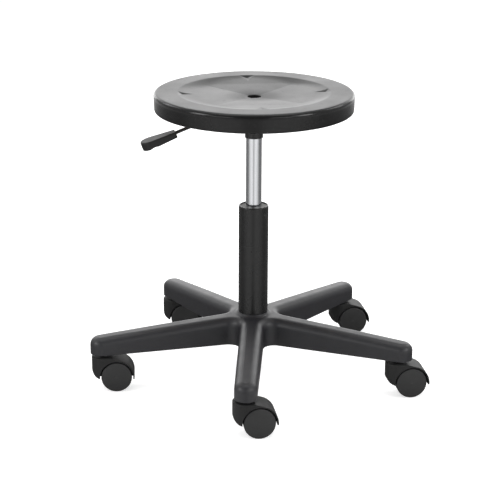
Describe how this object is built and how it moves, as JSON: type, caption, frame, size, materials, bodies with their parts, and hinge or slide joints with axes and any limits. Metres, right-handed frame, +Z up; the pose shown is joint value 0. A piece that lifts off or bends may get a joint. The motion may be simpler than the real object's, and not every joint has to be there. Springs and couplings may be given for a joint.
{
  "type": "laboratory stool",
  "caption": "Round dished seat on a gas spring column with a release lever under it, on a star base with hooded casters.",
  "frame": {"origin": "on the floor, under the column's axis", "axes": "+Z up along the column; -Y along the arm that points to the front; +X to the right"},
  "size_m": [0.6022, 0.5541, 0.526],
  "materials": {
    "seat_skin": "satin",
    "plywood": "matte",
    "black_steel": "satin",
    "zinc_steel": "satin",
    "bearing_steel": "polished",
    "chrome": "polished",
    "light_alloy": "satin",
    "handle_plastic": "satin",
    "bush_plastic": "matte",
    "natural_nylon": "matte",
    "buffer_rubber": "matte",
    "base_nylon": "satin",
    "caster_nylon": "satin",
    "wheel_nylon": "matte"
  },
  "bodies": {
    "base": {"star_base": "base_nylon", "hub_ring": "zinc_steel", "outer_tube": "black_steel", "guide_bush": "bush_plastic", "thrust_lower_washer": "bearing_steel", "caster_1_stem": "zinc_steel", "caster_1_grip_ring": "zinc_steel", "caster_2_stem": "zinc_steel", "caster_2_grip_ring": "zinc_steel", "caster_3_stem": "zinc_steel", "caster_3_grip_ring": "zinc_steel", "caster_4_stem": "zinc_steel", "caster_4_grip_ring": "zinc_steel", "caster_5_stem": "zinc_steel", "caster_5_grip_ring": "zinc_steel"},
    "spindle": {"piston_rod": "bearing_steel", "piston": "light_alloy", "thrust_upper_washer": "bearing_steel", "rubber_buffer": "buffer_rubber", "retaining_clip": "zinc_steel"},
    "bearing": {"ball_cage": "natural_nylon", "thrust_balls": "bearing_steel"},
    "seat": {"seat_cushion": "seat_skin", "seat_board": "plywood", "tee_nuts": "zinc_steel", "plate_screws": "zinc_steel", "mounting_plate": "black_steel", "lever_bracket": "black_steel", "taper_socket": "black_steel", "lever_pin": "zinc_steel", "pressure_cylinder": "chrome", "cylinder_end_guide": "natural_nylon"},
    "lever": {"lever_rod": "black_steel", "lever_handle": "handle_plastic"},
    "valve": {"valve_button": "zinc_steel"},
    "caster_1": {"caster_1_housing": "caster_nylon", "caster_1_axle": "zinc_steel"},
    "caster_1_left": {"caster_1_wheel_left": "wheel_nylon"},
    "caster_1_right": {"caster_1_wheel_right": "wheel_nylon"},
    "caster_2": {"caster_2_housing": "caster_nylon", "caster_2_axle": "zinc_steel"},
    "caster_2_left": {"caster_2_wheel_left": "wheel_nylon"},
    "caster_2_right": {"caster_2_wheel_right": "wheel_nylon"},
    "caster_3": {"caster_3_housing": "caster_nylon", "caster_3_axle": "zinc_steel"},
    "caster_3_left": {"caster_3_wheel_left": "wheel_nylon"},
    "caster_3_right": {"caster_3_wheel_right": "wheel_nylon"},
    "caster_4": {"caster_4_housing": "caster_nylon", "caster_4_axle": "zinc_steel"},
    "caster_4_left": {"caster_4_wheel_left": "wheel_nylon"},
    "caster_4_right": {"caster_4_wheel_right": "wheel_nylon"},
    "caster_5": {"caster_5_housing": "caster_nylon", "caster_5_axle": "zinc_steel"},
    "caster_5_left": {"caster_5_wheel_left": "wheel_nylon"},
    "caster_5_right": {"caster_5_wheel_right": "wheel_nylon"}
  },
  "joints": [
    {"name": "seat_swivel", "type": "hinge", "parent": "base", "child": "spindle", "pos_m": [0, 0, 0.072], "axis": [0, 0, 1], "continuous": true},
    {"name": "bearing_roll", "type": "hinge", "parent": "base", "child": "bearing", "pos_m": [0, 0, 0.0695], "axis": [0, 0, 1], "continuous": true},
    {"name": "seat_height", "type": "slide", "parent": "spindle", "child": "seat", "axis": [0, 0, 1], "range_m": [-0.12, 0], "stiffness_N_per_m": 200, "springref_m": 0.5},
    {"name": "lever_lift", "type": "hinge", "parent": "seat", "child": "lever", "pos_m": [-0.02329, -0.00581, 0.4825], "axis": [-0.2419, 0.9703, 0], "range_deg": [0, 5], "stiffness_Nm_per_rad": 0.3, "springref_deg": -17.19},
    {"name": "valve_press", "type": "slide", "parent": "seat", "child": "valve", "axis": [0, 0, -1], "range_m": [0, 0.0021]},
    {"name": "caster_1_swivel", "type": "hinge", "parent": "base", "child": "caster_1", "pos_m": [-0.26059, -0.08467, 0.05], "axis": [0, 0, 1], "continuous": true},
    {"name": "caster_1_left_spin", "type": "hinge", "parent": "caster_1", "child": "caster_1_left", "pos_m": [-0.23971, -0.08248, 0.02725], "axis": [-0.1045, 0.9945, 0], "continuous": true},
    {"name": "caster_1_right_spin", "type": "hinge", "parent": "caster_1", "child": "caster_1_right", "pos_m": [-0.23971, -0.08248, 0.02725], "axis": [-0.1045, 0.9945, 0], "continuous": true},
    {"name": "caster_2_swivel", "type": "hinge", "parent": "base", "child": "caster_2", "pos_m": [0, -0.274, 0.05], "axis": [0, 0, 1], "continuous": true},
    {"name": "caster_2_left_spin", "type": "hinge", "parent": "caster_2", "child": "caster_2_left", "pos_m": [0.02061, -0.26999, 0.02725], "axis": [-0.1908, 0.9816, 0], "continuous": true},
    {"name": "caster_2_right_spin", "type": "hinge", "parent": "caster_2", "child": "caster_2_right", "pos_m": [0.02061, -0.26999, 0.02725], "axis": [-0.1908, 0.9816, 0], "continuous": true},
    {"name": "caster_3_swivel", "type": "hinge", "parent": "base", "child": "caster_3", "pos_m": [0.26059, -0.08467, 0.05], "axis": [0, 0, 1], "continuous": true},
    {"name": "caster_3_left_spin", "type": "hinge", "parent": "caster_3", "child": "caster_3_left", "pos_m": [0.2812, -0.08066, 0.02725], "axis": [-0.1908, 0.9816, 0], "continuous": true},
    {"name": "caster_3_right_spin", "type": "hinge", "parent": "caster_3", "child": "caster_3_right", "pos_m": [0.2812, -0.08066, 0.02725], "axis": [-0.1908, 0.9816, 0], "continuous": true},
    {"name": "caster_4_swivel", "type": "hinge", "parent": "base", "child": "caster_4", "pos_m": [0.16105, 0.22167, 0.05], "axis": [0, 0, 1], "continuous": true},
    {"name": "caster_4_left_spin", "type": "hinge", "parent": "caster_4", "child": "caster_4_left", "pos_m": [0.18159, 0.22604, 0.02725], "axis": [-0.2079, 0.9781, 0], "continuous": true},
    {"name": "caster_4_right_spin", "type": "hinge", "parent": "caster_4", "child": "caster_4_right", "pos_m": [0.18159, 0.22604, 0.02725], "axis": [-0.2079, 0.9781, 0], "continuous": true},
    {"name": "caster_5_swivel", "type": "hinge", "parent": "base", "child": "caster_5", "pos_m": [-0.16105, 0.22167, 0.05], "axis": [0, 0, 1], "continuous": true},
    {"name": "caster_5_left_spin", "type": "hinge", "parent": "caster_5", "child": "caster_5_left", "pos_m": [-0.14005, 0.22167, 0.02725], "axis": [0, 1, 0], "continuous": true},
    {"name": "caster_5_right_spin", "type": "hinge", "parent": "caster_5", "child": "caster_5_right", "pos_m": [-0.14005, 0.22167, 0.02725], "axis": [0, 1, 0], "continuous": true}
  ],
  "couplings": [
    {"joint": "bearing_roll", "follows": "seat_swivel", "ratio": 0.5},
    {"joint": "valve_press", "follows": "lever_lift", "m_per_rad": 0.024}
  ]
}
